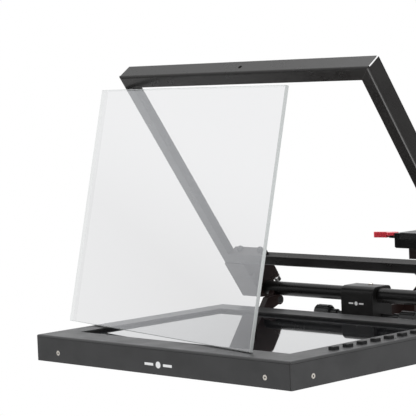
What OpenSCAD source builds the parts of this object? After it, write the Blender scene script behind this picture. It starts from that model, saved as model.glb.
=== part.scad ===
// Teleprompter on a camera sled: a flat monitor, a tilting mirror frame on a cross tube,
// the loose beamsplitter glass and a camera riser, all carried by one extruded rail.
// Millimetres. +Z is up and -Y is the side that faces the speaker.
// The origin is the mouth of the tripod thread, in the middle of the base's underside.

/* [Monitor] */
// Width of the monitor
mon_w = 364; // [340:1:380]
// Depth of the monitor from its front to its back
mon_d = 281; // [270:1:290]
// Thickness of the monitor
mon_t = 27.5; // [26:0.5:34]
// Height of the bezel's face above the tripod face
mon_z = 45; // [45:0.5:60]
// Width of the left bezel
bezel_left = 28.5; // [18:0.5:32]
// Width of the right bezel, which carries the buttons
bezel_right = 34.5; // [30:0.5:40]
// Width of the front bezel
bezel_front = 36.5; // [28:0.5:40]
// Width of the back bezel
bezel_back = 32.5; // [26:0.5:40]
// Thickness of the chassis sheet
sheet_t = 1.5; // [1:0.1:2]
// How far the screen lies below the bezel
screen_recess = 3; // [2.5:0.1:4]

/* [Buttons] */
// Number of buttons
button_count = 7; // [3:1:7]
// Spacing of the buttons
button_pitch = 20.6; // [18:0.1:24]
// Length of a button cap
button_l = 9; // [7:0.5:16]
// Width of a button cap
button_w = 7.5; // [6:0.5:11]
// Height of a button cap above the bezel
button_h = 3; // [0.8:0.1:4]

/* [Mirror frame] */
// Outer width of the mirror frame
frame_w = 355; // [320:0.2:360]
// Outer length of the mirror frame along its slope
frame_l = 268; // [240:1:280]
// Slope of the mirror frame above the horizontal
frame_angle = 55; // [50:1:60]
// Width of the angle section's front leg
angle_w = 14.6; // [12:0.2:20]
// Depth of the angle section's outer leg
angle_d = 19.6; // [18:0.1:25]
// Wall thickness of the angle section
angle_t = 2; // [1.5:0.1:2.5]

/* [Glass] */
// Width of the beamsplitter glass
glass_w = 349; // [320:1:350]
// Height of the beamsplitter glass
glass_h = 258.5; // [230:0.5:260]
// Thickness of the beamsplitter glass
glass_t = 4; // [3:0.5:4]

/* [Cross tube and clamp] */
// Outer radius of the cross tube
tube_r = 8; // [7.5:0.1:8.2]
// Length of the cross tube
tube_l = 344; // [340:1:350]
// Width of the centre clamp
clamp_w = 45.6; // [45:0.1:50]

/* [Sled] */
// Length of the sled rail
rail_l = 290; // [260:5:320]
// Width of the sled rail
rail_w = 40; // [40:1:42]
// Height of the sled rail
rail_h = 20; // [18:1:20]
// Height of the camera platform's face above the tripod face
deck_z = 121.5; // [118:0.5:126]

/* [Hidden] */
$fn = 48;
slack = 0.3;                                   // gap between parts that touch or pass
run_fit = 0.05;                                // radial clearance of a turning or sliding fit
eps = 0.01;

// places of the main axes, in the frame of the tripod thread
mon_x = -2;                                    // middle of the monitor
mon_y = -390;                                  // front edge of the monitor
mon_back = mon_y + mon_d;
tube_y = -71.5;
tube_z = 62;
rail_z = 29;                                   // underside of the rail
rail_y = -82;                                  // front end of the rail
rail_mid = rail_z + rail_h / 2;
clamp_y = -85;                                 // front face of the centre clamp
clamp_d = 32;
clamp_z = 26;
clamp_top = tube_z + tube_r + 2;

// lower front edge of the mirror frame
foot_y = tube_y - 38.4;
foot_z = tube_z + 30.5;

// window in the monitor's top
win_x0 = -mon_w / 2 + bezel_left;
win_x1 = mon_w / 2 - bezel_right;
win_y0 = bezel_front;
win_y1 = mon_d - bezel_back;
win_w = win_x1 - win_x0;
win_d = win_y1 - win_y0;
win_cx = (win_x0 + win_x1) / 2;
win_cy = (win_y0 + win_y1) / 2;

// stack inside the monitor, measured down from the bezel's face
cover_glass_t = 2;
module_w = 322;
module_d = 250;
module_t = 11;
module_z = -screen_recess - cover_glass_t - module_t;
board_t = 1.6;
board_z = module_z - 1.2 - board_t;
button_x = mon_w / 2 - 16;
button_y0 = 78.5;
flange_t = 1.2;
switch_board_z = -8;

// screws that hold the bottom cover, on each side wall
side_screw_z = -17.5;
side_screw_x = 148.3;
side_screw_y = [30.5, 250.5];

// frame holes for a hood
hood_hole_r = 2.25;
leg_hole_y = frame_l / 2 - 42;
crossbar_d = 21.3;                             // depth of the crossbar's own outer leg
bend_r = 3;                                    // outside radius of the section's bend
corner_gap = 1.2;                              // how far each outer leg stops short of a corner

// brackets, one at each end of the tube
bracket_x = 147;                               // inner face
bracket_w = 30.5;
tab_x = [122, 170];
tab_screw_x = [127.5, 158.5];
tab_screw_z = -16;
tab_t = 7;
lug_bolt_x = bracket_x + 4.4;                  // clamp bolt of a bracket
lug_bolt_n = 22.5;                             // its distance from the tube's axis

// monitor hinge under the tube
pivot_y = tube_y - 7.5;
pivot_z = tube_z - 12;
knuckle_r = 5.6;
arm_x = 120.5;                                 // inner face of a monitor arm
arm_t = 8;
lug_x = arm_x + arm_t + slack;                 // inner face of a hinge lug
lug_t = 8;
pin_r = 2;

// knobs
knob_y = clamp_y + 15;

// base and riser
base_w = 68;
base_l = 54;
base_wall_top = rail_z + rail_h + 6;
riser_y = 40;                                  // front of the riser carriage
riser_l = 66;
post_w = 24;
post_l = 36;
post_y = riser_y + 15;
post_top = 98;
deck_y = 20;                                   // front of the quick release base
deck_w = 60;
deck_l = 92;
deck_t = 17.8;
plate_t = 7.2;                                 // the plate, which stands proud of the jaws
plate_proud = 0.6;
slot_w = 45;                                   // width of the slot's mouth
lever_x = -deck_w / 2 - 7.5;                   // pin of the lever
lever_y = deck_y + 6;
head_z = deck_z - deck_t - 12.5;
head_y = deck_y + 5;
sleeve_z = 66;
screw_y = deck_y + deck_l / 2;

// ---------------------------------------------------------------- shared shapes

// Flat rectangle about the origin with round corners
module round_rect(w, d, r) {
    square([w - 2 * r, d], center = true);
    square([w, d - 2 * r], center = true);
    for (sx = [-1, 1], sy = [-1, 1])
        translate([sx * (w / 2 - r), sy * (d / 2 - r)]) circle(r);
}

// Block about the origin in X and Y, standing on z = 0, with round upright edges
module round_block(w, d, h, r) {
    linear_extrude(h) round_rect(w, d, r);
}

// Cylinder from x0 to x1 along X
module rod_x(x0, x1, r) {
    translate([x0, 0, 0]) rotate([0, 90, 0]) cylinder(h = x1 - x0, r = r);
}

// Profile given in Y and Z, extruded along X from x0 to x1
module slab_x(x0, x1) {
    translate([x0, 0, 0]) rotate([90, 0, 90]) linear_extrude(x1 - x0) children();
}

// Places its children in the monitor: origin at the middle of the bezel's front edge
module in_monitor() {
    translate([mon_x, mon_y, mon_z]) children();
}

// Places its children in the mirror frame: Y runs up the slope from the lower edge and
// Z points out of the front face
module in_frame() {
    translate([0, foot_y, foot_z]) rotate([180 - frame_angle, 0, 0]) children();
}

// Button-head screw along Z: the head's underside is at z = 0, and its shank goes down
module button_screw(shank_r, shank_l, head_r, head_h) {
    difference() {
        union() {
            cylinder(h = head_h * 0.5, r = head_r);
            translate([0, 0, head_h * 0.5 - eps])
                cylinder(h = head_h * 0.5 + eps, r1 = head_r, r2 = head_r * 0.6);
        }
        translate([0, 0, head_h * 0.45]) cylinder(h = head_h, r = head_r * 0.4, $fn = 6);
    }
    translate([0, 0, -shank_l]) cylinder(h = shank_l + eps, r = shank_r);
}

// Countersunk screw along Z: the head is flush with z = 0
module flush_screw(shank_r, shank_l, head_r) {
    depth = head_r - shank_r;
    difference() {
        translate([0, 0, -depth]) cylinder(h = depth, r1 = shank_r, r2 = head_r);
        translate([0, 0, -1.2]) cylinder(h = 2, r = 1, $fn = 6);
    }
    translate([0, 0, -shank_l]) cylinder(h = shank_l - depth + eps, r = shank_r);
}

// Thumbscrew along +Z: shank from z = 0, a neck, and a grip with flutes
module thumbscrew(shank_l, neck_r, neck_l, grip_r, grip_l) {
    cylinder(h = shank_l + eps, r = 2.5);
    translate([0, 0, shank_l]) cylinder(h = neck_l + eps, r = neck_r);
    translate([0, 0, shank_l + neck_l]) difference() {
        union() {
            cylinder(h = 2, r1 = grip_r - 1.5, r2 = grip_r);
            translate([0, 0, 2 - eps]) cylinder(h = grip_l - 4 + 2 * eps, r = grip_r);
            translate([0, 0, grip_l - 2]) cylinder(h = 2, r1 = grip_r, r2 = grip_r - 1.5);
        }
        for (i = [0:7]) rotate([0, 0, i * 45])
            translate([grip_r + 0.6, 0, -1]) cylinder(h = grip_l + 2, r = 1.6);
    }
}

// ---------------------------------------------------------------- base and sled

// Cross-section of a block that wraps the rail as a channel, in X and Z
module channel_profile(w, z0, z1, lip) {
    gap = rail_w / 2 + run_fit;
    difference() {
        translate([-w / 2, z0]) square([w, z1 - z0]);
        translate([-gap, rail_z - run_fit]) square([2 * gap, rail_h + 2 * run_fit]);
        if (lip > 0) translate([-gap + lip, z0 - 1]) square([2 * (gap - lip), rail_z - z0 + 2]);
    }
}

module along_y(y0, y1) {
    translate([0, y1, 0]) rotate([90, 0, 0]) linear_extrude(y1 - y0) children();
}

module base_block() {
    color("#26262a") difference() {
        union() {
            along_y(-base_l / 2, base_l / 2) channel_profile(base_w, 8, base_wall_top, 0);
            round_block(base_w, base_l, 8 + eps, 6);
        }
        // tripod threads, 3/8 inch at the origin and 1/4 inch in front and behind
        translate([0, 0, -1]) cylinder(h = 15, r = 4);
        for (y = [-17, 17]) translate([0, y, -1]) cylinder(h = 13, r = 2.55);
        // pin holes that stop the base turning
        for (x = [-20, 20]) translate([x, 0, -1]) cylinder(h = 7, r = 2.1);
        // thread of the lock knob
        translate([0, 0, rail_mid]) rod_x(-base_w / 2 - 1, -rail_w / 2, 2.5 + run_fit);
        // the walls lean in above the rail
        for (s = [-1, 1]) translate([s * base_w / 2, 0, base_wall_top])
            rotate([0, s * 45, 0]) cube([9, base_l + 2, 9], center = true);
    }
}

module lock_knob_at(side, x, y) {
    translate([side * x, y, rail_mid]) rotate([0, side * 90, 0]) children();
}

module base_lock_knob() {
    color("#202022") lock_knob_at(-1, rail_w / 2 + slack, 0) thumbscrew(16.5, 6, 7, 10, 20);
}

// Extruded rail: slots along both sides and the top, and a bore along the core
module sled_rail() {
    color("#2c2c30") difference() {
        along_y(rail_y, rail_y + rail_l) difference() {
            translate([0, rail_mid]) round_rect(rail_w, rail_h, 1);
            for (sx = [-1, 1]) translate([sx * 6.5, rail_mid - 2]) circle(4);
            translate([-3, rail_z + rail_h - 3]) square([6, 5]);
            for (sx = [-1, 1]) translate([sx * 14.5 - 1.5, rail_z + rail_h - 1]) square([3, 2]);
            translate([-5, rail_z - 1]) square([10, 2.5]);
        }
    }
}

module rail_end_caps() {
    color("#1c1c1e")
        translate([0, rail_y + rail_l + 2, rail_mid]) rotate([90, 0, 0])
            linear_extrude(2) round_rect(rail_w, rail_h, 2);
    color("#1c1c1e")
        translate([0, rail_y, rail_mid]) rotate([90, 0, 0])
            linear_extrude(2) round_rect(rail_w - 1, rail_h - 1, 2);
}

// ---------------------------------------------------------------- centre clamp and tube

// Side view of the clamp in Y and Z: flat front, round top over the tube
module clamp_profile() {
    front_r = 8;
    back_r = 5;
    difference() {
        union() {
            translate([clamp_y, clamp_z]) square([clamp_d, clamp_top - clamp_z - front_r]);
            translate([clamp_y + front_r, clamp_z])
                square([clamp_d - front_r - back_r, clamp_top - clamp_z]);
            translate([clamp_y + front_r, clamp_top - front_r]) circle(front_r);
            translate([clamp_y + clamp_d - back_r, clamp_top - back_r]) circle(back_r);
            translate([clamp_y + clamp_d - front_r, clamp_z])
                square([front_r, clamp_top - clamp_z - back_r]);
        }
        translate([tube_y, tube_z]) circle(tube_r + run_fit);
        // slit that lets the sleeve close on the tube
        translate([tube_y + tube_r - 1, tube_z - 0.6]) square([clamp_d, 1.2]);
    }
}

module centre_clamp() {
    color("#242427") difference() {
        slab_x(-clamp_w / 2, clamp_w / 2) clamp_profile();
        // channel for the rail, closed in front
        translate([-rail_w / 2 - run_fit, rail_y - 2 - run_fit, rail_z - run_fit])
            cube([rail_w + 2 * run_fit, clamp_d + 10, rail_h + 2 * run_fit]);
        translate([-16, rail_y - 2 - run_fit, clamp_z - 1]) cube([32, clamp_d + 10, 10]);
        // threads of the two knobs and the set screw
        translate([0, knob_y, rail_mid]) rod_x(-clamp_w / 2 - 1, clamp_w / 2 + 1, 2.5 + run_fit);
        translate([0, tube_y + 11.5, tube_z - 5]) cylinder(h = 20, r = 1.5);
    }
}

module clamp_set_screw() {
    color("#8a8a8c") translate([0, tube_y + 11.5, clamp_top])
        button_screw(1.45, 14, 2.7, 1.4);
}

module clamp_knob(side) {
    color("#1e1e20") lock_knob_at(side, rail_w / 2 + slack, knob_y)
        thumbscrew(21, 4, 9.5, 8, 21);
}

module clamp_knob_left() { clamp_knob(-1); }
module clamp_knob_right() { clamp_knob(1); }

module cross_tube() {
    color("#1b1b1d") translate([0, tube_y, tube_z]) difference() {
        rod_x(-tube_l / 2, tube_l / 2, tube_r);
        rod_x(-tube_l / 2 - 1, tube_l / 2 + 1, tube_r - 1.5);
        for (s = [-1, 1]) translate([s * (lug_x + lug_t / 2), 0, -tube_r - 1])
            cylinder(h = 4, r = 1.55);
    }
}

module tube_end_plugs() {
    color("#161618") for (s = [-1, 1]) translate([s * tube_l / 2, tube_y, tube_z])
        rotate([0, s * 90, 0]) {
            cylinder(h = 1.5, r = tube_r);
            translate([0, 0, -8]) cylinder(h = 8 + eps, r = tube_r - 1.5);
        }
}

// Lugs under the tube that carry the monitor's pivot bolts
module hinge_lugs() {
    n = [12, -7.5] / norm([12, -7.5]) * knuckle_r;
    color("#232326") for (s = [-1, 1]) mirror([s < 0 ? 1 : 0, 0, 0]) difference() {
        union() {
            slab_x(lug_x, lug_x + lug_t) {
                translate([pivot_y, pivot_z]) circle(knuckle_r);
                polygon([
                    [pivot_y + n[0], pivot_z + n[1]], [tube_y + n[0], tube_z + n[1]],
                    [tube_y - n[0], tube_z - n[1]], [pivot_y - n[0], pivot_z - n[1]]
                ]);
            }
            translate([lug_x + lug_t / 2, tube_y, tube_z - 9.8]) cylinder(h = 4.4, r = 1.5);
        }
        difference() {
            translate([0, tube_y, tube_z]) rod_x(lug_x - 1, lug_x + lug_t + 1, tube_r);
            translate([lug_x + lug_t / 2, tube_y, tube_z - 9.8]) cylinder(h = 4.4, r = 1.5);
        }
        translate([0, pivot_y, pivot_z]) rod_x(lug_x - 1, lug_x + lug_t + 1, pin_r + run_fit);
    }
}

// ---------------------------------------------------------------- mirror frame

// Angle section in Y and Z: outer edge on y = 0, front on z = 0, with a rounded bend
module angle_profile(d) {
    translate([-angle_w, -angle_t]) square([angle_w - bend_r, angle_t]);
    translate([-angle_t, -d]) square([angle_t, d - bend_r]);
    difference() {
        translate([-bend_r, -bend_r]) circle(bend_r);
        translate([-bend_r, -bend_r]) circle(bend_r - angle_t);
        translate([-2 * bend_r - 1, -2 * bend_r - 1]) square([bend_r + 1, 2 * bend_r + 2]);
        translate([-2 * bend_r - 1, -2 * bend_r - 1]) square([2 * bend_r + 2, bend_r + 1]);
    }
}

// Trapezium that a mitred bar fills, seen from the front
module mitre_plan(len, back) {
    w = angle_w + 1;
    polygon([
        [-len / 2 + back, 0], [len / 2 - back, 0], [len / 2 - back - w, -w], [-len / 2 + back + w, -w]
    ]);
}

// One bar of the frame as a mitred angle section, drawn with its outer edge on y = 0,
// its length along X and its inside towards -Y. Behind the bend its corners stand open
module angle_bar(len, d = angle_d) {
    intersection() {
        slab_x(-len / 2, len / 2) angle_profile(d);
        union() {
            translate([0, 0, -bend_r]) linear_extrude(bend_r + 1) mitre_plan(len, 0);
            translate([0, 0, -d - 1]) linear_extrude(d + 2) mitre_plan(len, corner_gap);
        }
    }
}

module frame_top_bar() {
    color("#2b2b2e") in_frame() difference() {
        translate([0, frame_l, 0]) angle_bar(frame_w);
        // hood hole through the outer leg
        translate([0, frame_l + 1, -angle_d / 2]) rotate([90, 0, 0])
            cylinder(h = angle_t + 2, r = hood_hole_r);
    }
}

module frame_leg(side) {
    color("#2b2b2e") in_frame() difference() {
        translate([side * frame_w / 2, frame_l / 2, 0]) rotate([0, 0, -side * 90])
            angle_bar(frame_l, angle_d + 0.7);
        // hood hole through the outer leg
        translate([side * (frame_w / 2 + 1), leg_hole_y, -angle_d / 2])
            rotate([0, -side * 90, 0]) cylinder(h = angle_t + 2, r = hood_hole_r);
    }
}

module frame_leg_left() { frame_leg(-1); }
module frame_leg_right() { frame_leg(1); }

module frame_crossbar() {
    color("#2b2b2e") in_frame() difference() {
        rotate([0, 0, 180]) angle_bar(frame_w, crossbar_d);
        for (s = [-1, 1], x = tab_screw_x) translate([s * x, -1, tab_screw_z]) rotate([-90, 0, 0])
            cylinder(h = angle_t + 2, r = 2.1);
    }
}

// Bracket outline in Y and Z, from the frame's lower edge round the tube
module bracket_outline() {
    c = cos(frame_angle);
    s = sin(frame_angle);
    toe = 47;
    polygon([
        [foot_y, foot_z],
        [foot_y + crossbar_d * s, foot_z + crossbar_d * c],
        [tube_y - 1, tube_z + 39],
        [tube_y + 6.5, tube_z + 34],
        [tube_y + 19.2, tube_z + 15.8],
        [tube_y + 17.5, tube_z + 13.5],
        [tube_y + 11, tube_z + 7.3],
        [tube_y + 13.4, tube_z + 2],
        [tube_y + 13.4, tube_z - 4.5],
        [tube_y + 11, tube_z - 8],
        [tube_y + 5.5, tube_z - 10],
        [foot_y + toe * c + 1.5, tube_z - 10],
        [foot_y + toe * c, foot_z - toe * s]
    ]);
}

// Places its children on the tube's axis with +Z down the frame's slope, along the clamp
// bolt, and +X away from the frame's face, along the slit it closes
module at_clamp(side) {
    translate([side * lug_bolt_x, tube_y, tube_z]) rotate([180 - frame_angle, 0, 0])
        rotate([0, 90, -90]) children();
}

module bracket(side) {
    x0 = bracket_x;
    x1 = bracket_x + bracket_w;
    color("#242427") {
        difference() {
            union() {
                mirror([side < 0 ? 1 : 0, 0, 0]) slab_x(x0, x1) bracket_outline();
                // boss of the clamp bolt, on the lug below the slit
                at_clamp(side) translate([lug_bolt_n, 0, -9]) cylinder(h = 11, r = 4.2);
            }
            translate([0, tube_y, tube_z]) rod_x(-x1 - 1, x1 + 1, tube_r + run_fit);
            // slit behind the tube, and the bolt's thread across it
            at_clamp(side) translate([4, -bracket_w, -4.8]) cube([30, 2 * bracket_w, 1]);
            at_clamp(side) translate([lug_bolt_n, 0, -14]) cylinder(h = 18, r = 2);
        }
        // tab on the crossbar's lower leg
        mirror([side < 0 ? 1 : 0, 0, 0]) in_frame() difference() {
            translate([tab_x[0], angle_t, -crossbar_d + 1])
                cube([tab_x[1] - tab_x[0], tab_t, crossbar_d - angle_t - 4]);
            for (x = tab_screw_x) translate([x, 0, tab_screw_z]) rotate([-90, 0, 0])
                cylinder(h = 10, r = 2.1);
        }
    }
}

module bracket_left() { bracket(-1); }
module bracket_right() { bracket(1); }

module crossbar_screws() {
    color("#3a3a3c") in_frame() for (s = [-1, 1], x = tab_screw_x)
        translate([s * x, angle_t + tab_t, tab_screw_z]) rotate([-90, 0, 0]) {
            button_screw(2, angle_t + tab_t, 3.9, 3.6);
        }
}

// Socket screws that close the brackets on the tube
module bracket_clamp_screws() {
    color("#2a2a2c") for (side = [-1, 1]) at_clamp(side) translate([lug_bolt_n, 0, 0]) {
        translate([0, 0, 3]) difference() {
            cylinder(h = 5.5, r = 3.8);
            translate([0, 0, 3]) cylinder(h = 4, r = 1.8, $fn = 6);
        }
        translate([0, 0, -12]) cylinder(h = 15 + eps, r = 1.95);
    }
}

module bracket_washers() {
    color("#c9c9c6") for (side = [-1, 1]) at_clamp(side) translate([lug_bolt_n, 0, 2])
        difference() {
            cylinder(h = 1, r = 4.4);
            translate([0, 0, -1]) cylinder(h = 3, r = 2);
        }
}

// Soft strips in the angle's corner that the glass bears on
module glass_pads() {
    pad_t = 1;
    pad_w = angle_w - angle_t - 2;
    color("#101011") in_frame() {
        for (s = [-1, 1])
            translate([s * (frame_w / 2 - angle_t - 1 - pad_w / 2), frame_l / 2, -angle_t - pad_t])
                linear_extrude(pad_t) square([pad_w, frame_l - 60], center = true);
        translate([0, frame_l - angle_t - 1 - pad_w / 2, -angle_t - pad_t])
            linear_extrude(pad_t) square([frame_w - 60, pad_w], center = true);
    }
}

// ---------------------------------------------------------------- glass

// The loose glass stands on the bezel and leans back towards the frame
glass_corner = [113.2, 21.6, 0.2];                // its lower right corner, in the monitor
glass_turn = -11.5;
glass_lean = 12.17;

module beamsplitter_glass() {
    color([0.85, 0.92, 0.9, 0.4]) in_monitor() translate(glass_corner)
        rotate([0, 0, glass_turn]) rotate([-glass_lean, 0, 0])
            translate([-glass_w, -glass_t, 0]) cube([glass_w, glass_t, glass_h]);
}

// ---------------------------------------------------------------- monitor

module button_place(i) {
    translate([button_x, button_y0 + i * button_pitch, 0]) children();
}

// Places its children at each side-wall screw, with +Z out of the wall
module at_side_screws() {
    for (x = [-side_screw_x, side_screw_x]) {
        translate([x, 0, side_screw_z]) rotate([90, 0, 0]) children();
        translate([x, mon_d, side_screw_z]) rotate([-90, 0, 0]) children();
    }
    for (s = [-1, 1], y = side_screw_y)
        translate([s * mon_w / 2, y, side_screw_z]) rotate([0, s * 90, 0]) children();
}

// Sockets in the back wall: [x, width, height] of each opening
socket_z = board_z - 0.2;
sockets = [[-96, 16, 6.4], [-70, 16, 6.4], [-44, 12, 6.4]];
inlet_x = 60;
inlet_r = 3.3;
inlet_z = board_z - 0.4 - inlet_r;
foot_mid = arm_x + arm_t / 2;                  // middle of an arm's foot
arm_foot_x = [foot_mid - 8.5, foot_mid + 8.5];
arm_foot_z = -15;

// Cross-section of the folded chassis, with round bends along the top
module folded_end(w) {
    bend = 2.2;
    translate([-w / 2, -mon_t]) square([w, mon_t - bend]);
    translate([-w / 2 + bend, -bend - eps]) square([w - 2 * bend, bend + eps]);
    for (s = [-1, 1]) translate([s * (w / 2 - bend), -bend]) circle(bend);
}

module monitor_chassis() {
    color("#2a2a2d") in_monitor() difference() {
        intersection() {
            translate([0, mon_d / 2, -mon_t]) round_block(mon_w, mon_d, mon_t, 1.2);
            along_y(-1, mon_d + 1) folded_end(mon_w);
            translate([0, mon_d / 2, 0]) rotate([0, 0, 90])
                along_y(-mon_w / 2 - 1, mon_w / 2 + 1) folded_end(mon_d);
        }
        translate([0, mon_d / 2, -mon_t - 1])
            round_block(mon_w - 2 * sheet_t, mon_d - 2 * sheet_t, mon_t - sheet_t + 1, 1);
        translate([win_cx, win_cy, -sheet_t - 1]) round_block(win_w, win_d, sheet_t + 2, 1);
        for (i = [0 : button_count - 1]) button_place(i) translate([0, 0, -sheet_t - 1])
            round_block(button_w + 2 * slack, button_l + 2 * slack, sheet_t + 2, 1.5);
        at_side_screws() {
            translate([0, 0, -5]) cylinder(h = 6, r = 1.6);
            translate([0, 0, -1.3 + eps]) cylinder(h = 1.3, r1 = 1.6, r2 = 2.9);
        }
        for (k = sockets) translate([k[0] - k[1] / 2, mon_d - 4, socket_z - k[2]])
            cube([k[1], 8, k[2]]);
        translate([inlet_x, mon_d - 4, inlet_z]) rotate([-90, 0, 0])
            cylinder(h = 8, r = inlet_r + slack);
        for (s = [-1, 1], x = arm_foot_x) translate([s * x - mon_x, mon_d - 4, arm_foot_z])
            rotate([-90, 0, 0]) cylinder(h = 8, r = 1.6);
    }
}

module monitor_bottom_cover() {
    t = 1.2;
    gap = 0.2;
    w = mon_w - 2 * sheet_t - 2 * gap;
    d = mon_d - 2 * sheet_t - 2 * gap;
    lip_h = 16;
    color("#303034") in_monitor() difference() {
        translate([0, mon_d / 2, -mon_t]) round_block(w, d, lip_h, 1);
        translate([0, mon_d / 2, -mon_t + t]) round_block(w - 2 * t, d - 2 * t, lip_h, 0.5);
        at_side_screws() translate([0, 0, -8]) cylinder(h = 9, r = 1.25);
        // the lip is cut away where the sockets and the arm feet pass
        translate([-115, mon_d - 6, -mon_t + t]) cube([190, 8, lip_h]);
        for (s = [-1, 1]) translate([s * foot_mid - mon_x - 15, mon_d - 6, -mon_t + t])
            cube([30, 8, lip_h]);
        // vents
        for (i = [-7:7], j = [-1, 1]) translate([i * 12, mon_d / 2 + j * 88, -mon_t - 1])
            round_block(4, 40, t + 2, 2 - eps);
        // 75 mm square mounting holes
        for (sx = [-1, 1], sy = [-1, 1])
            translate([sx * 37.5, mon_d / 2 + sy * 37.5, -mon_t - 1]) cylinder(h = t + 2, r = 2.1);
    }
}

module chassis_screws() {
    color("#c9c9c6") in_monitor() at_side_screws() translate([0, 0, -0.1])
        flush_screw(1.2, 6, 2.6);
}

module screen_gasket() {
    ring = 8;
    color("#0c0c0d") in_monitor() translate([win_cx, win_cy, -screen_recess]) difference() {
        round_block(win_w + 2 * ring, win_d + 2 * ring, screen_recess - sheet_t, 2);
        translate([0, 0, -1]) round_block(win_w + 1, win_d + 1, 5, 1);
    }
}

module screen_cover_glass() {
    color("#b9bdc2") in_monitor()
        translate([win_cx, win_cy, -screen_recess - cover_glass_t])
            round_block(win_w + 16, win_d + 16, cover_glass_t, 2);
}

module lcd_module() {
    color("#1a1b1d") in_monitor() translate([win_cx, win_cy, module_z])
        round_block(module_w, module_d, module_t, 1.5);
}

// Rails that hang the screen module from the chassis
module lcd_rails() {
    y0 = win_cy - module_d / 2;
    y1 = win_cy + module_d / 2;
    color("#9a9a9d") in_monitor() for (y = [[y0 - 8, y0], [y1, y1 + 8]]) {
        slab_x(-150, 140) polygon([
            [y[0], -sheet_t], [y[1], -sheet_t], [y[1], module_z], [y[0], module_z]
        ]);
    }
}

module main_board() {
    x0 = -120;
    y0 = mon_d - 110;
    color("#1f5c34") in_monitor() {
        translate([x0, y0, board_z]) cube([195, 102, board_t]);
        // chips and capacitors on its underside
        for (p = [[40, 40, 22], [88, 52, 16], [60, 12, 12], [112, 20, 10]])
            translate([x0 + p[0], y0 + p[1], board_z - 1.8]) cube([p[2], p[2], 1.8 + eps]);
        for (i = [0:4]) translate([x0 + 20 + i * 11, y0 + 85, board_z - 3.8])
            cylinder(h = 3.8 + eps, r = 3);
    }
}

module board_standoffs() {
    color("#b08d3c") in_monitor() for (x = [-114, 69], y = [mon_d - 104, mon_d - 40])
        translate([x, y, board_z + board_t]) cylinder(h = module_z - board_z - board_t, r = 3, $fn = 6);
}

module button_board() {
    l = (button_count - 1) * button_pitch + 24;
    color("#1f5c34") in_monitor() {
        translate([button_x - 6.5, button_y0 - 12, switch_board_z]) cube([13, l, board_t]);
        for (i = [0 : button_count - 1]) button_place(i)
            translate([-3, -3, switch_board_z + board_t - eps]) cube([6, 6, 2.7]);
    }
}

// Shells of the video sockets on the main board
module connector_sockets() {
    color("#a8a8aa") in_monitor() for (k = sockets) {
        w = k[1] - 0.6;
        h = k[2] - 0.6;
        translate([k[0] - w / 2, mon_d - 12, socket_z - k[2] + 0.3]) difference() {
            cube([w, 12.5, h]);
            translate([1, 4, 1]) cube([w - 2, 10, h - 2]);
        }
    }
}

// Round inlet for the power lead
module power_inlet() {
    color("#1a1a1c") in_monitor() translate([inlet_x, mon_d - 12, inlet_z])
        rotate([-90, 0, 0]) difference() {
            cylinder(h = 12.5, r = inlet_r);
            translate([0, 0, 3]) cylinder(h = 12, r = 2);
            translate([0, 0, 12]) cylinder(h = 1, r1 = 2, r2 = 3);
        }
    color("#c9c9c6") in_monitor() translate([inlet_x, mon_d - 10, inlet_z])
        rotate([-90, 0, 0]) cylinder(h = 9, r = 0.65);
}

// Arm in Y and Z: foot on the back wall, a slanted bar and a knuckle under the tube
module arm_outline() {
    y0 = mon_back;
    translate([pivot_y, pivot_z]) circle(knuckle_r);
    polygon([
        [y0, mon_z - 24], [y0, mon_z - 4], [y0 + 2, mon_z - 1.5], [y0 + 10, pivot_z + knuckle_r - 1],
        [y0 + 14, pivot_z + knuckle_r], [pivot_y, pivot_z + knuckle_r],
        [pivot_y + 2, pivot_z - 5.2], [pivot_y - 2.6, pivot_z - 5], [pivot_y - 12, pivot_z - 8.5],
        [y0 + 10, mon_z - 17], [y0 + 3, mon_z - 24]
    ]);
}

module monitor_arm(side) {
    color("#242427") mirror([side < 0 ? 1 : 0, 0, 0]) difference() {
        union() {
            slab_x(arm_x, arm_x + arm_t) arm_outline();
            translate([foot_mid, mon_back + 1.5, mon_z + arm_foot_z]) rotate([90, 0, 0])
                translate([0, 0, -1.5]) round_block(27, 17, 3, 3);
        }
        translate([0, pivot_y, pivot_z]) {
            rod_x(arm_x - 1, arm_x + arm_t + 1, pin_r);
            translate([arm_x, 0, 0]) rotate([0, 90, 0]) cylinder(h = 2, r1 = pin_r + 2, r2 = pin_r);
        }
        for (x = arm_foot_x) translate([x, mon_back - 1, mon_z + arm_foot_z])
            rotate([-90, 0, 0]) cylinder(h = 6, r = 1.6);
    }
}

module monitor_arm_left() { monitor_arm(-1); }
module monitor_arm_right() { monitor_arm(1); }

module arm_foot_screws() {
    color("#8a8a8c") for (s = [-1, 1], x = arm_foot_x)
        translate([s * x, mon_back + 3, mon_z + arm_foot_z]) rotate([-90, 0, 0])
            button_screw(1.5, 8, 2.8, 1.8);
}

// Countersunk pivot bolts, each with a nut beyond its lug
module arm_pivot_bolts() {
    end = lug_x + lug_t;
    color("#8a8a8c") for (s = [-1, 1]) mirror([s < 0 ? 1 : 0, 0, 0])
        translate([0, pivot_y, pivot_z]) {
            translate([arm_x, 0, 0]) rotate([0, -90, 0]) flush_screw(pin_r, end - arm_x + 3.4, pin_r + 2);
            translate([end + slack, 0, 0]) rotate([0, 90, 0]) cylinder(h = 2.4, r = 4, $fn = 6);
        }
}

// ---------------------------------------------------------------- buttons

module panel_button(i) {
    color("#17171a") in_monitor() button_place(i) {
        translate([0, 0, -sheet_t - 0.2]) round_block(button_w, button_l, sheet_t + button_h, 1.4);
        translate([0, 0, -sheet_t - 0.1 - flange_t])
            round_block(button_w + 2.4, button_l + 2.4, flange_t, 1.4);
        translate([0, 0, button_h - 0.2 - eps])
            round_block(button_w - 1, button_l - 1, 0.2, 1.2);
    }
}

// ---------------------------------------------------------------- riser and camera deck

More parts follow.
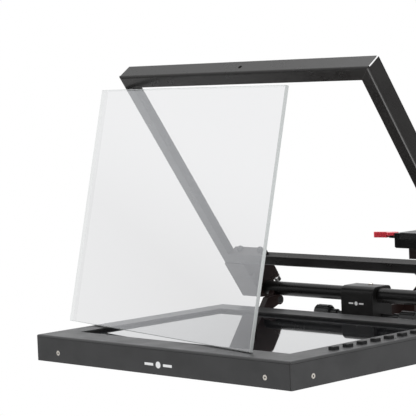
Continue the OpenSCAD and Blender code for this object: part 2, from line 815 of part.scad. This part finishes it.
module riser_carriage() {
    floor_z = 22;
    top_z = rail_z + rail_h + 9;
    color("#26262a") difference() {
        along_y(riser_y, riser_y + riser_l) channel_profile(56, floor_z, top_z, 5);
        translate([0, riser_y + riser_l / 2, rail_mid]) rod_x(rail_w / 2, 30, 2.5 + run_fit);
        for (s = [-1, 1]) translate([s * 28, riser_y + riser_l / 2, top_z])
            rotate([0, 45, 0]) cube([16, riser_l + 2, 16], center = true);
        // seat of the post
        translate([0, post_y + post_l / 2, top_z - 5])
            round_block(post_w, post_l, 6, 3);
    }
}

module riser_lock_knob() {
    color("#202022") lock_knob_at(1, rail_w / 2 + slack, riser_y + riser_l / 2)
        thumbscrew(12, 6, 6, 9, 18);
}

module riser_post() {
    color("#8f9094") translate([0, post_y + post_l / 2, rail_z + rail_h + 4])
        difference() {
            round_block(post_w, post_l, post_top - rail_z - rail_h - 4, 3);
            translate([0, 0, 8]) round_block(post_w - 8, post_l - 8, 60, 2);
        }
}

// Head that slides on the post and carries the deck
module riser_head() {
    top = deck_z - deck_t;
    cy = post_y + post_l / 2;
    wall = 3.5;
    color("#26262a") difference() {
        union() {
            translate([0, (head_y + cy + post_l / 2) / 2, head_z])
                round_block(29, cy + post_l / 2 - head_y, top - head_z, 2);
            translate([0, cy, sleeve_z])
                round_block(post_w + 2 * wall, post_l + 2 * wall, top - sleeve_z, 5);
        }
        translate([0, cy, sleeve_z - 1])
            round_block(post_w + 2 * run_fit, post_l + 2 * run_fit, top - sleeve_z - 3, 3);
        translate([0, cy, sleeve_z + 9]) rod_x(-40, 0, 2.5 + run_fit);
        for (y = [30, 62]) translate([0, deck_y + y, top - 6]) cylinder(h = 8, r = 2.05);
    }
}

module height_lock_knob() {
    color("#202022") translate([-post_w / 2 - slack, post_y + post_l / 2, sleeve_z + 9])
        rotate([0, -90, 0]) thumbscrew(9, 6, 5, 9, 16);
}

// Cross-section of the deck's base with its dovetail slot, in X and Z
module deck_profile() {
    z0 = deck_z - deck_t;
    z1 = deck_z - plate_proud;
    floor_z = deck_z - plate_t - slack;
    half = slot_w / 2;
    difference() {
        union() {
            translate([-deck_w / 2, z0 + 1]) square([deck_w, z1 - z0 - 1]);
            translate([-deck_w / 2 + 1, z0]) square([deck_w - 2, 2]);
        }
        polygon([
            [-half - 2.5, floor_z], [half + 2.5, floor_z], [half, z1 + eps], [-half, z1 + eps]
        ]);
    }
}

module quick_release_base() {
    boss_z = deck_z - 6.7;
    color("#232326") difference() {
        union() {
            along_y(deck_y, deck_y + deck_l) deck_profile();
            // boss of the lever, joined to the left side
            translate([lever_x, lever_y, boss_z]) cylinder(h = 2.9, r = 4.2);
            translate([lever_x, lever_y - 4.2, boss_z]) cube([9, 8.4, 2.9]);
        }
        translate([lever_x, lever_y, boss_z - 1]) cylinder(h = 8, r = 1.5 + run_fit);
        // screws into the riser head
        for (y = [30, 62]) translate([0, deck_y + y, deck_z - deck_t - 1]) {
            cylinder(h = 12, r = 2.2);
            translate([0, 0, 4]) cylinder(h = 12, r = 4);
        }
    }
}

// Socket screws that hold the deck on the riser head
module deck_screws() {
    color("#2a2a2c") for (y = [30, 62]) translate([0, deck_y + y, deck_z - deck_t + 3]) {
        difference() {
            cylinder(h = 4, r = 3.5);
            translate([0, 0, 1.8]) cylinder(h = 4, r = 1.7, $fn = 6);
        }
        translate([0, 0, -8]) cylinder(h = 8 + eps, r = 2);
    }
}

// Lever that locks the plate: a hub on the boss, a pin and a curved, fluted handle
module quick_release_lever() {
    top = deck_z - 0.3;
    hub_z = deck_z - 3.5;
    low_z = deck_z - 6.7;
    arc_r = 60;
    reach = 24.5;
    color("#b01c30") translate([lever_x, lever_y, 0]) {
        difference() {
            union() {
                translate([0, 0, hub_z]) cylinder(h = top - hub_z, r = 7);
                // handle as a stretch of a ring, swept towards -X and slightly forward
                translate([0, 0, hub_z]) linear_extrude(top - hub_z) lever_strip(arc_r, reach - 3, 0);
                translate([0, 0, low_z]) linear_extrude(top - low_z) lever_strip(arc_r, reach - 3, 7.2);
                translate([-reach + 3, -3.4, low_z]) cylinder(h = top - low_z, r = 3);
            }
            // flutes along the front of the grip
            for (x = [10, 14, 18])
                translate([-x, -arc_r + sqrt((arc_r - 3) * (arc_r - 3) - x * x), low_z - 1])
                    cylinder(h = 9, r = 1.2);
            translate([0, 0, top - 1.6]) cylinder(h = 2, r = 1.4, $fn = 6);
        }
        translate([0, 0, hub_z - 3]) cylinder(h = 3 + eps, r = 1.5);
    }
}

module lever_strip(arc_r, reach, start) {
    intersection() {
        translate([0, -arc_r + 0.6]) difference() {
            circle(arc_r + 3, $fn = 96);
            circle(arc_r - 3, $fn = 96);
        }
        translate([-reach, -20]) square([reach - start, 30]);
    }
}

// Plate that slides in the dovetail, with a slot for the camera screw
module camera_plate() {
    z0 = deck_z - plate_t;
    half = slot_w / 2 - slack;
    jaw = deck_z - plate_proud;
    color("#b9b6b2") difference() {
        union() {
            along_y(deck_y + 0.5, deck_y + deck_l - 0.5) polygon([
                [-half - 2.5, z0], [half + 2.5, z0], [half, jaw], [-half, jaw]
            ]);
            translate([0, deck_y + deck_l / 2, jaw - eps])
                round_block(2 * half, deck_l - 1, plate_proud + eps, 1);
        }
        translate([0, screw_y, z0 - 1]) round_block(6.9, 40, 12, 3.4);
        translate([0, screw_y, z0 - 1]) round_block(15, 48, 4.2, 7.4);
        // grooves that grip the camera
        for (x = [-15, 15]) translate([x - 0.6, deck_y + 6, deck_z - 0.4])
            cube([1.2, deck_l - 12, 1]);
    }
}

// Quarter-inch camera screw: slotted head under the plate, a thin neck and the thread
module camera_screw() {
    z0 = deck_z - plate_t + 0.2;
    thread_z = deck_z + 0.5;
    color("#c4c4c2") translate([0, screw_y, 0]) difference() {
        union() {
            translate([0, 0, z0]) cylinder(h = 2.4, r = 6.6);
            translate([0, 0, z0]) cylinder(h = thread_z - z0 + eps, r = 2.4);
            translate([0, 0, thread_z]) cylinder(h = 6.5, r = 3.17);
        }
        translate([-8, -0.8, z0 - 1]) cube([16, 1.6, 2]);
    }
}

// ---------------------------------------------------------------- output

base_block();
base_lock_knob();
sled_rail();
rail_end_caps();
centre_clamp();
clamp_set_screw();
clamp_knob_left();
clamp_knob_right();
cross_tube();
tube_end_plugs();
hinge_lugs();
frame_top_bar();
frame_leg_left();
frame_leg_right();
frame_crossbar();
bracket_left();
bracket_right();
crossbar_screws();
bracket_clamp_screws();
bracket_washers();
glass_pads();
beamsplitter_glass();
monitor_chassis();
monitor_bottom_cover();
chassis_screws();
screen_gasket();
screen_cover_glass();
lcd_module();
lcd_rails();
main_board();
board_standoffs();
button_board();
connector_sockets();
power_inlet();
monitor_arm_left();
monitor_arm_right();
arm_foot_screws();
arm_pivot_bolts();
panel_button(0);  // button_1
panel_button(1);  // button_2
panel_button(2);  // button_3
panel_button(3);  // button_4
panel_button(4);  // button_5
panel_button(5);  // button_6
panel_button(6);  // button_7
riser_carriage();
riser_lock_knob();
riser_post();
riser_head();
height_lock_knob();
quick_release_base();
deck_screws();
quick_release_lever();
camera_plate();
camera_screw();
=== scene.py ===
"""Looks for the teleprompter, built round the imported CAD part."""

import math

import bmesh
import bpy
from mathutils import Euler, Matrix, Vector


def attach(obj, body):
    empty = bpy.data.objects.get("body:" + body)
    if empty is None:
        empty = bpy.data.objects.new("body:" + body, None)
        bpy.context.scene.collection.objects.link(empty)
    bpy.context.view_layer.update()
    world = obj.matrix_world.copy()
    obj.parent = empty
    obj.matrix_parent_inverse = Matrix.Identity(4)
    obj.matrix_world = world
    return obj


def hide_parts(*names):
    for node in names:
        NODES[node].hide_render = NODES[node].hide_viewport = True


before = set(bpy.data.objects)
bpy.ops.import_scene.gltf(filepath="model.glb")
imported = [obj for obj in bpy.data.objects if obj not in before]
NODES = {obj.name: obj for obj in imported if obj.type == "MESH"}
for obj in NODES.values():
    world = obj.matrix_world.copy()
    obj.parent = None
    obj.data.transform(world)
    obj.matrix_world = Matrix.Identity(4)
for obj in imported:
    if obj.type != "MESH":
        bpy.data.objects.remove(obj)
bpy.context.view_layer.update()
scene = bpy.context.scene
MM = 0.001
X, Y, Z = range(3)


def node_box(name):
    """Lowest and highest corner of a CAD node in the row frame at rest."""
    points = [v.co for v in NODES[name].data.vertices]
    return [Vector([pick(p[i] for p in points) for i in range(3)]) for pick in (min, max)]


# places of what is drawn on the CAD faces, measured from the parts that carry it
chassis_low, chassis_high = node_box("monitor_chassis")
clamp_low, clamp_high = node_box("centre_clamp")
SEAM_Z = chassis_high.z - 2.6 * MM
CORNER_SEAM_X = chassis_high.x - 1.5 * MM
SEAM_HALF = 0.4 * MM
CHASSIS_MARK = ((chassis_low.x + chassis_high.x) / 2 + 3.5 * MM, chassis_high.z - 17.5 * MM)
CLAMP_MARK = ((clamp_low.x + clamp_high.x) / 2 - 1.1 * MM, (clamp_low.z + clamp_high.z) / 2 + 4.2 * MM)

# wear, small edges and the reach of the painted shade down in recesses
WORN_WIDTH = 0.6 * MM
ROUND_WIDTH = 0.5 * MM
RECESS_SHADE_REACH = 1.6 * MM
PRINT_WHITE = (0.72, 0.72, 0.72)

# CAD nodes that get small round edges, and how wide
SOFT_EDGES = {
    "quick_release_lever": 0.6 * MM,
    "monitor_arm_left": 0.5 * MM,
    "monitor_arm_right": 0.5 * MM,
    "camera_plate": 0.5 * MM,
    "quick_release_base": 0.4 * MM,
}

# beamsplitter
GLASS_BEVEL = 0.6 * MM
COATED_SHARE = 0.33
PLAIN_SHARE = 0.04

# studio
FLOOR_Z = -0.95
FLOOR_RADIUS = 4.4
BACKDROP_WAY = (-0.74, 0.67, 0.0)
HALL_LEVEL = 0.36

# camera: place in metres, turns in degrees, lens and sensor in millimetres
CAMERA_AT = (1.34856, -1.65264, 0.31376)
CAMERA_TURN = (85.8775, 2.3111, 44.9613)
LENS = 163.0437
SENSOR = 36


# ---------------------------------------------------------------- node helpers


class Tree:
    """The node tree of a material or a world, with short calls for the nodes used here."""

    def __init__(self, owner):
        owner.use_nodes = True
        self.owner = owner
        self.nodes = owner.node_tree.nodes
        self.links = owner.node_tree.links
        self.coord = None
        self.xyz = None

    def new(self, kind, **props):
        n = self.nodes.new(kind)
        for k, v in props.items():
            setattr(n, k, v)
        return n

    def link(self, a, b):
        self.links.new(a, b)

    def position(self):
        if self.coord is None:
            self.coord = self.new("ShaderNodeTexCoord").outputs["Object"]
        return self.coord

    def scaled(self, scale):
        m = self.new("ShaderNodeMapping")
        m.inputs["Scale"].default_value = scale
        self.link(self.position(), m.inputs["Vector"])
        return m.outputs["Vector"]

    def noise(self, scale, detail=3.0, rough=0.5, vector=None):
        n = self.new("ShaderNodeTexNoise")
        n.inputs["Scale"].default_value = scale
        n.inputs["Detail"].default_value = detail
        n.inputs["Roughness"].default_value = rough
        self.link(self.position() if vector is None else vector, n.inputs["Vector"])
        return n.outputs["Fac"]

    def span(self, value, lo, hi, out_lo, out_hi, kind="LINEAR"):
        """Map lo..hi to out_lo..out_hi, held at both ends."""
        n = self.new("ShaderNodeMapRange", interpolation_type=kind)
        n.inputs["From Min"].default_value = lo
        n.inputs["From Max"].default_value = hi
        n.inputs["To Min"].default_value = out_lo
        n.inputs["To Max"].default_value = out_hi
        self.link(value, n.inputs["Value"])
        return n.outputs["Result"]

    def math(self, op, a, b=None):
        n = self.new("ShaderNodeMath", operation=op)
        for i, v in enumerate((a, b)):
            if v is None:
                continue
            if isinstance(v, (int, float)):
                n.inputs[i].default_value = v
            else:
                self.link(v, n.inputs[i])
        return n.outputs[0]

    def mix(self, fac, a, b):
        """Colour a where fac is 0, b where it is 1."""
        n = self.new("ShaderNodeMix", data_type="RGBA")
        self.link(fac, n.inputs[0])
        for i, v in ((6, a), (7, b)):
            if isinstance(v, (tuple, list)):
                n.inputs[i].default_value = (*v, 1.0)
            else:
                self.link(v, n.inputs[i])
        return n.outputs[2]

    def blend(self, fac, a, b):
        """Shader node a where fac is 0, b where it is 1."""
        n = self.new("ShaderNodeMixShader")
        self.link(fac, n.inputs[0])
        self.link(a.outputs[0], n.inputs[1])
        self.link(b.outputs[0], n.inputs[2])
        return n.outputs[0]

    def bump(self, height, strength, distance, normal=None):
        n = self.new("ShaderNodeBump")
        n.inputs["Strength"].default_value = strength
        n.inputs["Distance"].default_value = distance
        self.link(height, n.inputs["Height"])
        if normal is not None:
            self.link(normal, n.inputs["Normal"])
        return n.outputs["Normal"]

    def rounded(self, radius):
        """The surface normal, turned smoothly over each edge."""
        n = self.new("ShaderNodeBevel", samples=6)
        n.inputs["Radius"].default_value = radius
        return n.outputs["Normal"]

    def edges(self, radius):
        """0 on flat ground, towards 1 on an outer or inner edge."""
        g = self.new("ShaderNodeNewGeometry")
        d = self.new("ShaderNodeVectorMath", operation="DOT_PRODUCT")
        self.link(self.rounded(radius), d.inputs[0])
        self.link(g.outputs["Normal"], d.inputs[1])
        return self.span(d.outputs["Value"], 0.965, 0.8, 0.0, 1.0)

    def recess_shade(self, distance):
        """1 down in a recess, 0 in the open, from ambient occlusion: painted shade in drive sockets and
        slots.
        """
        n = self.new("ShaderNodeAmbientOcclusion", samples=8)
        n.inputs["Distance"].default_value = distance
        return self.span(n.outputs["AO"], 0.35, 0.8, 1.0, 0.0)

    def backfacing(self):
        """1 on a face seen from its inner side."""
        return self.new("ShaderNodeNewGeometry").outputs["Backfacing"]

    def axis(self, i):
        """One object coordinate, in metres in the row frame at rest."""
        if self.xyz is None:
            self.xyz = self.new("ShaderNodeSeparateXYZ")
            self.link(self.position(), self.xyz.inputs[0])
        return self.xyz.outputs[i]

    def band(self, i, middle, half, soft=0.1 * MM):
        """1 within half of the middle along axis i, 0 outside."""
        away = self.math("ABSOLUTE", self.math("SUBTRACT", self.axis(i), middle))
        return self.span(away, half - soft, half + soft, 1.0, 0.0)

    def disc(self, i, j, middle, radius, soft=0.15 * MM):
        """1 within a circle in the plane of axes i and j."""
        a = self.math("POWER", self.math("SUBTRACT", self.axis(i), middle[0]), 2.0)
        b = self.math("POWER", self.math("SUBTRACT", self.axis(j), middle[1]), 2.0)
        away = self.math("SQRT", self.math("ADD", a, b))
        return self.span(away, radius - soft, radius + soft, 1.0, 0.0)

    def facing(self, i, sign):
        """1 on faces that look along +/- axis i."""
        split = self.new("ShaderNodeSeparateXYZ")
        self.link(self.new("ShaderNodeTexCoord").outputs["Normal"], split.inputs[0])
        return self.span(self.math("MULTIPLY", split.outputs[i], sign), 0.8, 0.9, 0.0, 1.0)


class Look(Tree):
    """A new material's tree, with its surface shader and its output."""

    def __init__(self, name):
        super().__init__(bpy.data.materials.new(name))
        self.bsdf = self.nodes["Principled BSDF"]
        self.out = self.nodes["Material Output"]

    def set(self, name, value):
        s = self.bsdf.inputs[name]
        if isinstance(value, (int, float)):
            s.default_value = value
        elif isinstance(value, (tuple, list)):
            s.default_value = (*value, 1.0)
        else:
            self.link(value, s)

    def surface(self, shader):
        self.link(shader, self.out.inputs["Surface"])


# ---------------------------------------------------------------- materials


def coated_metal(name, color, edge_color, rough=0.42, grain=2600, grain_h=0.00003, wear=0.5,
                 metal=0.0, spec=0.5, extra=None):
    """Powder coat or matt anodising: fine grain, faint mottling, worn edges."""
    t = Look(name)
    mottled = t.noise(38, 4, 0.6)
    scratch = t.noise(420, 2, 0.5, t.scaled((1, 1, 14)))
    worn = t.math("MULTIPLY", t.edges(WORN_WIDTH), t.span(t.noise(160, 3), 0.38, 0.62, 0.15, 1.0))
    base = t.mix(t.span(mottled, 0.3, 0.7, 0.0, 1.0), color, [c * 1.28 for c in color])
    base = t.mix(t.math("MULTIPLY", worn, wear), base, edge_color)
    normal = t.bump(t.noise(grain, 2, 0.6), 0.35, grain_h, t.rounded(ROUND_WIDTH))
    if extra is not None:
        base, normal = extra(t, base, normal)
    t.set("Base Color", base)
    t.set("Metallic", metal)
    t.set("Specular IOR Level", spec)
    t.set("Roughness", t.math("ADD", t.span(mottled, 0.3, 0.7, rough - 0.05, rough + 0.05),
                              t.span(scratch, 0.62, 0.8, 0.0, -0.06)))
    t.set("Normal", normal)
    return t.owner


def bare_metal(name, color, rough=0.28, along=(1, 60, 60)):
    """Turned or brushed metal, with fine lines along one way."""
    t = Look(name)
    lines = t.noise(900, 2, 0.6, t.scaled(along))
    stain = t.noise(60, 4, 0.6)
    base = t.mix(t.span(stain, 0.35, 0.75, 0.0, 0.25), color, [c * 0.55 for c in color])
    # painted shade: the base colour goes nearly black down in recesses, where ambient occlusion finds
    # them
    t.set("Base Color", t.mix(t.recess_shade(RECESS_SHADE_REACH), base, (0.02, 0.018, 0.016)))
    t.set("Roughness", t.math("ADD", t.span(lines, 0.3, 0.7, rough - 0.06, rough + 0.08),
                              t.span(stain, 0.3, 0.8, 0.0, 0.08)))
    t.set("Metallic", 1.0)
    t.set("Normal", t.bump(lines, 0.12, 0.00002))
    return t.owner


def moulded(name, color, rough=0.45, grain=1500, grain_h=0.00004):
    """Moulded plastic with a fine spark texture."""
    t = Look(name)
    stain = t.noise(70, 4, 0.6)
    t.set("Base Color", t.mix(t.span(stain, 0.3, 0.7, 0.0, 1.0), color, [c * 1.35 for c in color]))
    t.set("Roughness", t.span(stain, 0.3, 0.7, rough - 0.05, rough + 0.06))
    t.set("Normal", t.bump(t.noise(grain, 2), 0.3, grain_h))
    return t.owner


def print_mark(t, base, middle, dash, half, radius, gap):
    """A plain printed mark on a face that looks to -Y: a dot between two dashes."""
    mask = t.disc(X, Z, middle, radius)
    for side in (-1, 1):
        along = t.band(X, middle[0] + side * (radius + gap + dash / 2), dash / 2)
        mask = t.math("MAXIMUM", mask, t.math("MULTIPLY", along, t.band(Z, middle[1], half)))
    return t.mix(t.math("MULTIPLY", mask, t.facing(Y, -1.0)), base, PRINT_WHITE)


def chassis_detail(t, base, normal):
    """Seam under the bezel, folded corner seam and the printed mark in front."""
    side = t.math("SUBTRACT", 1.0, t.facing(Z, 1.0))
    seam = t.math("MULTIPLY", t.band(Z, SEAM_Z, SEAM_HALF), side)
    corner = t.math("MULTIPLY", t.band(X, CORNER_SEAM_X, SEAM_HALF), t.facing(Y, -1.0))
    seam = t.math("MAXIMUM", seam, corner)
    base = t.mix(seam, base, (0.001, 0.001, 0.001))
    normal = t.bump(t.math("SUBTRACT", 1.0, seam), 0.6, 0.6 * MM, normal)
    base = print_mark(t, base, CHASSIS_MARK, dash=12.5 * MM, half=1.3 * MM, radius=3.4 * MM, gap=3.6 * MM)
    return base, normal


def clamp_detail(t, base, normal):
    """The same printed mark, smaller, on the clamp's front."""
    base = print_mark(t, base, CLAMP_MARK, dash=6.5 * MM, half=0.8 * MM, radius=2.2 * MM, gap=1.9 * MM)
    return base, normal


def half_mirror(name, share, tint):
    """Thin partly reflecting face: share of the light is mirrored, the rest passes with a tint."""
    t = Look(name)
    t.nodes.remove(t.bsdf)
    clear = t.new("ShaderNodeBsdfTransparent")
    clear.inputs["Color"].default_value = (*tint, 1)
    gloss = t.new("ShaderNodeBsdfGlossy")
    gloss.inputs["Roughness"].default_value = 0.0
    gloss.inputs["Color"].default_value = (0.965, 0.975, 1.0, 1)
    haze = t.span(t.noise(9, 4, 0.65), 0.3, 0.75, share, share * 1.04)
    t.surface(t.blend(haze, clear, gloss))
    return t.owner


def glass_edge():
    """Ground edge: milky, a little green, with fine lines from the wheel."""
    t = Look("glass_edge")
    streak = t.noise(500, 3, 0.6, t.scaled((1, 1, 30)))
    milky = t.span(streak, 0.3, 0.7, 0.0, 1.0)
    t.set("Base Color", t.mix(milky, (0.4, 0.415, 0.41), (0.66, 0.68, 0.675)))
    t.set("Roughness", 0.22)
    t.set("Normal", t.bump(streak, 0.2, 0.00005))
    # seen from inside the sheet, an end face is close to clear
    clear = t.new("ShaderNodeBsdfTransparent")
    clear.inputs["Color"].default_value = (0.9, 0.91, 0.91, 1)
    t.surface(t.blend(t.span(t.backfacing(), 0.0, 1.0, 0.0, 0.85), t.bsdf, clear))
    return t.owner


def screen_glass():
    """Black glass over the panel: a glossy coat with faint smudges."""
    t = Look("screen_glass")
    t.set("Base Color", (0.012, 0.013, 0.015))
    t.set("IOR", 1.52)
    t.set("Roughness", t.span(t.noise(14, 5, 0.62), 0.35, 0.8, 0.02, 0.06))
    t.set("Coat Weight", 1.0)
    t.set("Coat Roughness", 0.02)
    t.set("Coat IOR", 1.6)
    return t.owner


def floor_pale():
    """Pale matt floor, open to a view from beneath."""
    t = Look("floor_pale")
    t.set("Base Color", (0.86, 0.86, 0.86))
    t.set("Roughness", 0.8)
    t.set("Alpha", t.span(t.backfacing(), 0.0, 1.0, 1.0, 0.0))
    return t.owner


M = {
    "frame": coated_metal("frame_black", (0.0115, 0.0106, 0.01), (0.06, 0.055, 0.05), rough=0.3,
                          spec=0.34),
    "chassis": coated_metal("chassis_black", (0.024, 0.024, 0.0245), (0.09, 0.09, 0.09), rough=0.4,
                            extra=chassis_detail),
    "anodised": coated_metal("anodised_black", (0.0105, 0.0052, 0.0046), (0.09, 0.08, 0.075), rough=0.32,
                             grain=3600, grain_h=0.000015, spec=0.26),
    "clamp": coated_metal("clamp_black", (0.006, 0.0057, 0.0056), (0.12, 0.12, 0.12), rough=0.34,
                          grain=3600, grain_h=0.000015, spec=0.25, extra=clamp_detail),
    "tube": coated_metal("tube_black", (0.004, 0.0037, 0.0036), (0.1, 0.1, 0.1), rough=0.3,
                         grain=3600, grain_h=0.000006, wear=0.2, spec=0.24),
    "rail": coated_metal("rail_black", (0.009, 0.0045, 0.004), (0.14, 0.12, 0.11), rough=0.34,
                         grain=3600, grain_h=0.00001, spec=0.16),
    "plastic": moulded("moulded_black", (0.006, 0.006, 0.0062), rough=0.3),
    "key": moulded("key_black", (0.006, 0.006, 0.0065), rough=0.5, grain_h=0.00001),
    "bright": bare_metal("bright_steel", (0.86, 0.81, 0.74), rough=0.34),
    "steel": bare_metal("plain_steel", (0.5, 0.5, 0.49), rough=0.36),
    "post": bare_metal("post_aluminium", (0.62, 0.62, 0.62), rough=0.34, along=(60, 60, 1)),
    "blackscrew": coated_metal("black_oxide", (0.008, 0.0075, 0.0075), (0.12, 0.12, 0.12), rough=0.3,
                               grain_h=0.00001),
    "red": coated_metal("lever_red", (0.7, 0.045, 0.065), (0.85, 0.3, 0.3), rough=0.3, metal=0.3,
                        grain_h=0.00001, wear=0.3),
    "plate": coated_metal("plate_black", (0.009, 0.009, 0.0092), (0.25, 0.25, 0.25), rough=0.32,
                          grain_h=0.00001, spec=0.38),
    "deck": coated_metal("deck_black", (0.003, 0.003, 0.0031), (0.09, 0.09, 0.09), rough=0.3,
                         grain_h=0.00001, spec=0.2),
    "felt": moulded("felt_black", (0.01, 0.01, 0.01), rough=0.9, grain=900, grain_h=0.0002),
    "board": moulded("board_green", (0.02, 0.12, 0.05), rough=0.4),
    "brass": bare_metal("brass", (0.66, 0.48, 0.2), rough=0.3),
    "black": moulded("screen_black", (0.006, 0.006, 0.0065), rough=0.35),
    "mirror": half_mirror("beamsplitter_coated", COATED_SHARE, (0.842, 0.836, 0.83)),
    "clear": half_mirror("beamsplitter_plain", PLAIN_SHARE, (0.99, 0.99, 0.99)),
    "edge": glass_edge(),
    "screen": screen_glass(),
}

LOOKS = {
    "frame": ["frame_top_bar", "frame_leg_left", "frame_leg_right", "frame_crossbar"],
    "chassis": ["monitor_chassis", "monitor_bottom_cover"],
    "anodised": ["bracket_left", "bracket_right", "hinge_lugs", "monitor_arm_left",
                 "monitor_arm_right", "riser_carriage", "riser_head", "base_block"],
    "clamp": ["centre_clamp"],
    "deck": ["quick_release_base"],
    "tube": ["cross_tube"],
    "rail": ["sled_rail"],
    "plastic": ["base_lock_knob", "clamp_knob_left", "clamp_knob_right", "riser_lock_knob",
                "height_lock_knob", "rail_end_caps", "tube_end_plugs", "power_inlet"],
    "key": ["button_%d" % i for i in range(1, 8)],
    "bright": ["chassis_screws", "clamp_set_screw", "camera_screw"],
    "steel": ["arm_foot_screws", "bracket_washers", "lcd_rails", "connector_sockets"],
    "post": ["riser_post"],
    "blackscrew": ["crossbar_screws", "deck_screws", "bracket_clamp_screws", "arm_pivot_bolts"],
    "red": ["quick_release_lever"],
    "plate": ["camera_plate"],
    "felt": ["glass_pads", "screen_gasket"],
    "board": ["main_board", "button_board"],
    "brass": ["board_standoffs"],
    "black": ["lcd_module"],
    "screen": ["screen_cover_glass"],
    "clear": ["beamsplitter_glass"],
}
for look, names in LOOKS.items():
    for name in names:
        mesh = NODES[name].data
        mesh.materials.clear()
        mesh.materials.append(M[look])


# ---------------------------------------------------------------- real edges and the glass


def soften(name, width):
    """Small round edges on a CAD node."""
    o = NODES[name]
    weld = o.modifiers.new("weld", "WELD")
    weld.merge_threshold = 0.01 * MM
    flat = o.modifiers.new("flat", "DECIMATE")
    flat.decimate_type = "DISSOLVE"
    flat.angle_limit = math.radians(0.4)
    bevel = o.modifiers.new("soft", "BEVEL")
    bevel.width = width
    bevel.segments = 2
    bevel.limit_method = "ANGLE"
    bevel.angle_limit = math.radians(40)
    o.modifiers.new("normals", "WEIGHTED_NORMAL").keep_sharp = True


def glass_sheet():
    """The beamsplitter: a clear face in front, the half-silvered face behind and ground edges."""
    bm = bmesh.new()
    bm.from_mesh(NODES["beamsplitter_glass"].data)
    bmesh.ops.remove_doubles(bm, verts=bm.verts, dist=0.01 * MM)
    bmesh.ops.dissolve_limit(bm, angle_limit=0.01, verts=bm.verts, edges=bm.edges)
    front = max(bm.faces, key=lambda f: f.calc_area()).normal.copy()
    if front.y > 0:
        front.negate()
    bmesh.ops.bevel(bm, geom=list(bm.edges), offset=GLASS_BEVEL, segments=2, affect="EDGES", profile=0.5)
    bm.normal_update()
    faces = ("clear", "mirror", "edge")
    for f in bm.faces:
        d = f.normal.dot(front)
        f.material_index = faces.index("clear" if d > 0.99 else "mirror" if d < -0.99 else "edge")
    mesh = bpy.data.meshes.new("beamsplitter_sheet")
    bm.to_mesh(mesh)
    bm.free()
    for face in faces:
        mesh.materials.append(M[face])
    o = bpy.data.objects.new("beamsplitter_sheet", mesh)
    scene.collection.objects.link(o)
    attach(o, "glass")
    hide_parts("beamsplitter_glass")


for name, width in SOFT_EDGES.items():
    soften(name, width)
glass_sheet()


# ---------------------------------------------------------------- studio and camera


def backdrop():
    """Plain white straight behind the object; for every other ray a backdrop on the far side and a
    ceiling above, in a hall that is dim at eye level."""
    t = Tree(bpy.data.worlds.new("studio"))
    scene.world = t.owner
    white = t.nodes["Background"]
    white.inputs["Color"].default_value = (1, 1, 1, 1)
    white.inputs["Strength"].default_value = 1.0
    soft = t.new("ShaderNodeBackground")
    soft.inputs["Color"].default_value = (0.985, 0.992, 1.0, 1)
    way = t.new("ShaderNodeTexCoord").outputs["Generated"]
    far = t.new("ShaderNodeVectorMath", operation="DOT_PRODUCT")
    far.inputs[1].default_value = BACKDROP_WAY
    t.link(way, far.inputs[0])
    split = t.new("ShaderNodeSeparateXYZ")
    t.link(way, split.inputs[0])
    screen = t.span(far.outputs["Value"], 0.25, 0.6, HALL_LEVEL, 1.0, "SMOOTHSTEP")
    ceiling = t.span(split.outputs["Z"], 0.02, 0.2, HALL_LEVEL, 1.0, "SMOOTHSTEP")
    t.link(t.math("MAXIMUM", screen, ceiling), soft.inputs["Strength"])
    seen = t.new("ShaderNodeLightPath").outputs["Is Camera Ray"]
    t.link(t.blend(seen, soft, white), t.nodes["World Output"].inputs["Surface"])


def floor():
    """A round floor at the height of a tripod's feet."""
    bm = bmesh.new()
    bmesh.ops.create_circle(bm, cap_ends=True, segments=128, radius=FLOOR_RADIUS)
    mesh = bpy.data.meshes.new("floor")
    bm.to_mesh(mesh)
    bm.free()
    mesh.materials.append(floor_pale())
    o = bpy.data.objects.new("floor", mesh)
    o.location = (0, 0, FLOOR_Z)
    scene.collection.objects.link(o)


def area_light(name, where, aim, side, power):
    """A square lamp of this side, aimed at a point."""
    data = bpy.data.lights.new(name, "AREA")
    data.shape = "SQUARE"
    data.size = side
    data.energy = power
    o = bpy.data.objects.new(name, data)
    o.location = where
    o.rotation_euler = (Vector(aim) - Vector(where)).to_track_quat("-Z", "Y").to_euler()
    scene.collection.objects.link(o)
    return o


def camera():
    data = bpy.data.cameras.new("camera")
    data.lens = LENS
    data.sensor_width = SENSOR
    data.clip_end = 50
    cam = bpy.data.objects.new("camera", data)
    turn = Euler([math.radians(a) for a in CAMERA_TURN])
    cam.matrix_world = Matrix.Translation(CAMERA_AT) @ turn.to_matrix().to_4x4()
    scene.collection.objects.link(cam)
    scene.camera = cam


backdrop()
floor()
area_light("top", (-0.5, 0.1, 2.4), (0, -0.1, 0.1), 2.0, 22)
area_light("bounce", (0.62, -0.62, -0.72), (0.12, -0.2, 0.2), 0.7, 9).visible_camera = False
scene.view_settings.view_transform = "Standard"
camera()
